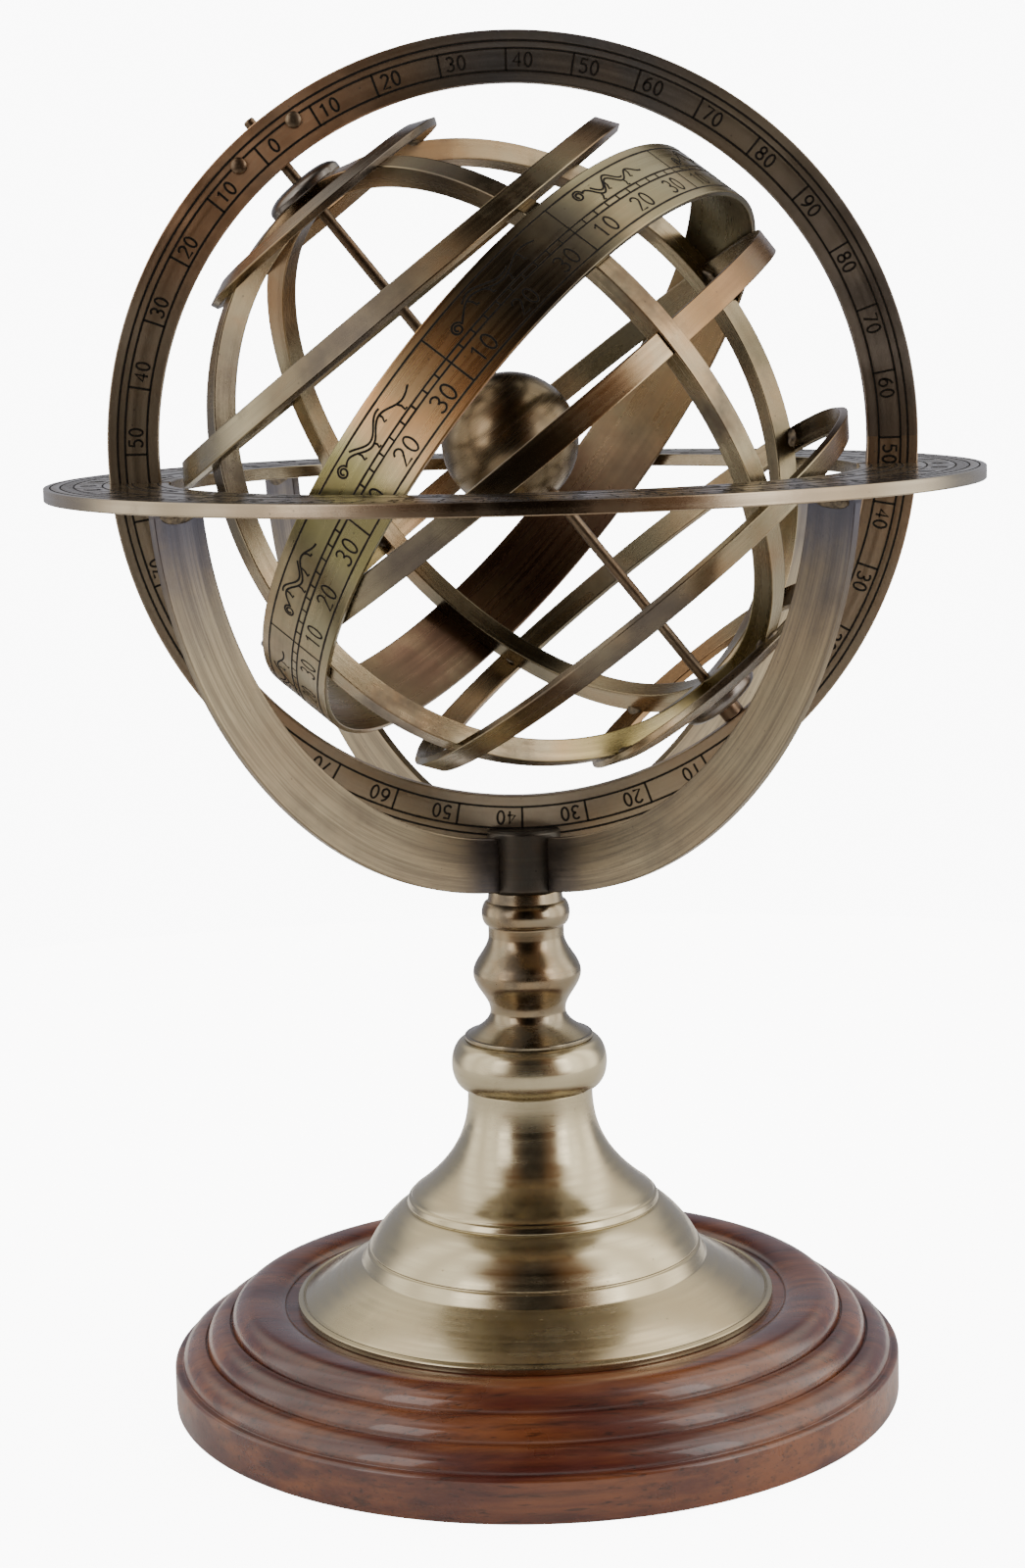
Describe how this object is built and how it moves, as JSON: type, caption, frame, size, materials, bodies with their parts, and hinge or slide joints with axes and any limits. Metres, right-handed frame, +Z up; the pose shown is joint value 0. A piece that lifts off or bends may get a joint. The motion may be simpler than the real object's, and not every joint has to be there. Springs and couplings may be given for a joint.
{
  "type": "armillary sphere",
  "caption": "Desk armillary sphere: a cage of engraved brass rings turns on a tilted axis in a meridian and horizon, on a turned brass pedestal and moulded wood base.",
  "frame": {"origin": "centre of the underside, on the plane the felt rests on", "axes": "+Z up along the pedestal; the meridian ring stands in the XZ plane and the front faces -Y"},
  "size_m": [0.19, 0.19, 0.2816],
  "materials": {
    "mahogany": "gloss lacquer",
    "felt": "matte",
    "hardware": "satin",
    "turned_brass": "satin antique",
    "strip_brass": "brushed antique",
    "bar_brass": "satin antique",
    "engraved_bright": "polished, engraved",
    "engraved_dark": "darkened, engraved",
    "band_bronze": "satin antique, engraved",
    "ball_bronze": "satin"
  },
  "bodies": {
    "stand": {"wood_base": "mahogany", "base_felt": "felt", "base_nut": "hardware", "base_washer": "hardware", "tie_rod": "hardware", "bell_foot": "turned_brass", "collar": "turned_brass", "stem": "turned_brass", "cradle_head": "turned_brass", "arm_front_right": "strip_brass", "arm_front_left": "strip_brass", "arm_back_left": "strip_brass", "arm_back_right": "strip_brass", "horizon_ring": "engraved_bright"},
    "meridian": {"meridian_ring": "engraved_dark", "axis_rod": "strip_brass", "axis_clamp_north": "engraved_dark", "axis_clamp_south": "engraved_dark", "axis_rivets": "turned_brass", "earth_ball": "ball_bronze", "thrust_collar": "turned_brass"},
    "cage": {"hub_north": "turned_brass", "hub_south": "turned_brass", "colure_equinox": "bar_brass", "colure_solstice": "bar_brass", "equator_ring": "bar_brass", "cancer_ring": "bar_brass", "capricorn_ring": "bar_brass", "arctic_ring": "bar_brass", "antarctic_ring": "bar_brass", "zodiac_band": "band_bronze"}
  },
  "joints": [
    {"name": "meridian_tilt", "type": "hinge", "parent": "stand", "child": "meridian", "pos_m": [0, -0.0013, 0.1995], "axis": [0, -1, 0], "range_deg": [-21, 34]},
    {"name": "cage_spin", "type": "hinge", "parent": "meridian", "child": "cage", "pos_m": [0, 0, 0.1995], "axis": [-0.6157, 0, 0.788], "continuous": true}
  ]
}
